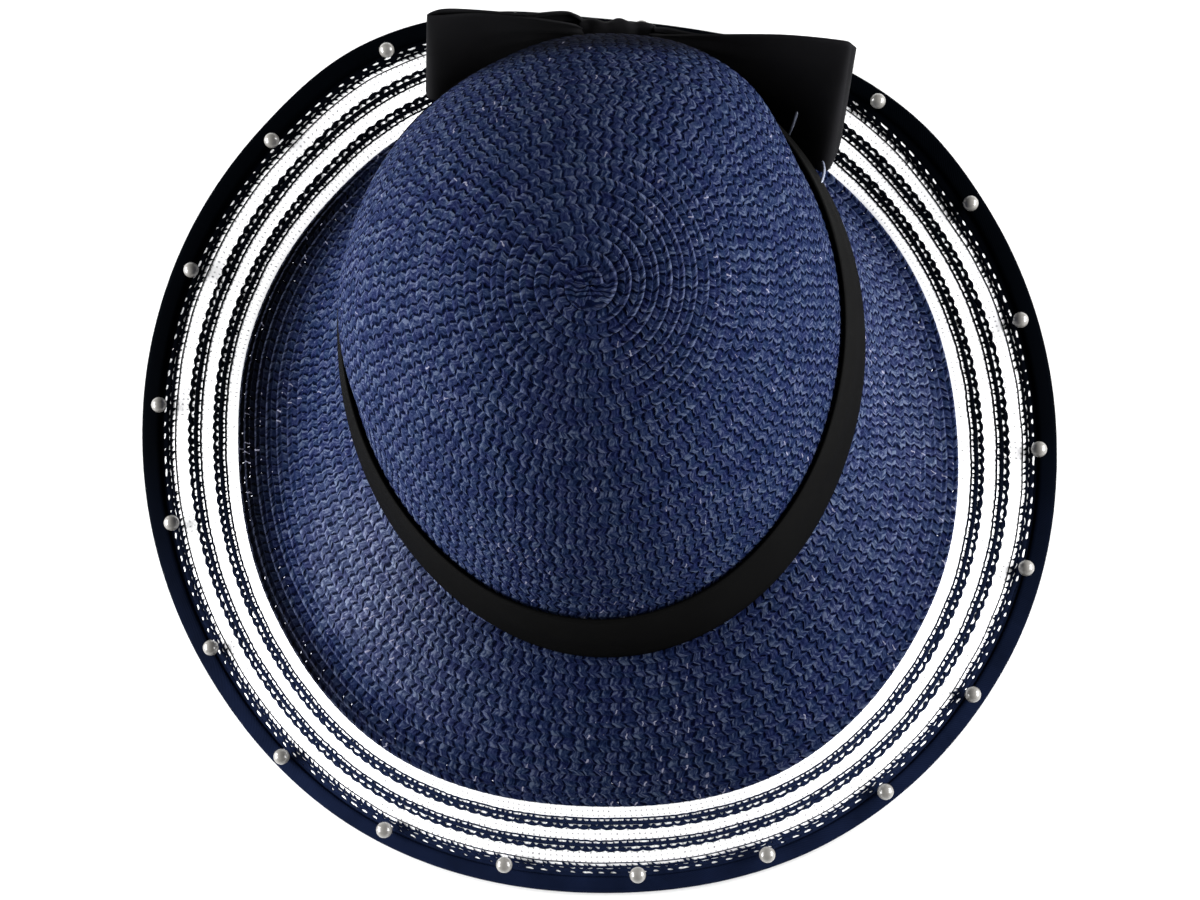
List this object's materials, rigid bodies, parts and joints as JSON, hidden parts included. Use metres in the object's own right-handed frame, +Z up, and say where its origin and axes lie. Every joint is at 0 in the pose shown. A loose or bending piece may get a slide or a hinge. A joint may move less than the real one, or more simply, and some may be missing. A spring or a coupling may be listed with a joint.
{
  "type": "wide-brim straw sun hat",
  "caption": "Round-crowned wide-brim sun hat of navy straw braid, with a white openwork edge under navy lace, a pearl-set binding, and a black ribbon band and bow.",
  "frame": {"origin": "on the resting surface, under the middle of the brim's outline", "axes": "+Z up through the crown, -Y towards the front of the hat, +X to the wearer's left"},
  "size_m": [0.3162, 0.3177, 0.145],
  "materials": {
    "straw_braid": "navy paper-straw braid, satin",
    "white_net": "white open net, matte",
    "navy_lace": "navy cotton lace, matte",
    "navy_binding": "dark navy ribbed tape, matte",
    "pearl": "white pearl bead, glossy",
    "black_ribbon": "black woven ribbon, soft sheen"
  },
  "bodies": {
    "root": {"crown": "straw_braid", "brim": "straw_braid", "mesh_inset": "white_net", "lace_inner": "navy_lace", "lace_outer": "navy_lace", "lace_edge": "navy_lace", "edge_binding": "navy_binding", "hat_band": "black_ribbon", "bow_knot": "black_ribbon", "bow_loop_left": "black_ribbon", "bow_loop_right": "black_ribbon", "pearl_01": "pearl", "pearl_02": "pearl", "pearl_03": "pearl", "pearl_04": "pearl", "pearl_05": "pearl", "pearl_06": "pearl", "pearl_07": "pearl", "pearl_08": "pearl", "pearl_09": "pearl", "pearl_10": "pearl", "pearl_11": "pearl", "pearl_12": "pearl", "pearl_13": "pearl", "pearl_14": "pearl", "pearl_15": "pearl", "pearl_16": "pearl", "pearl_17": "pearl", "pearl_18": "pearl", "pearl_19": "pearl", "pearl_20": "pearl", "pearl_21": "pearl"}
  },
  "joints": []
}
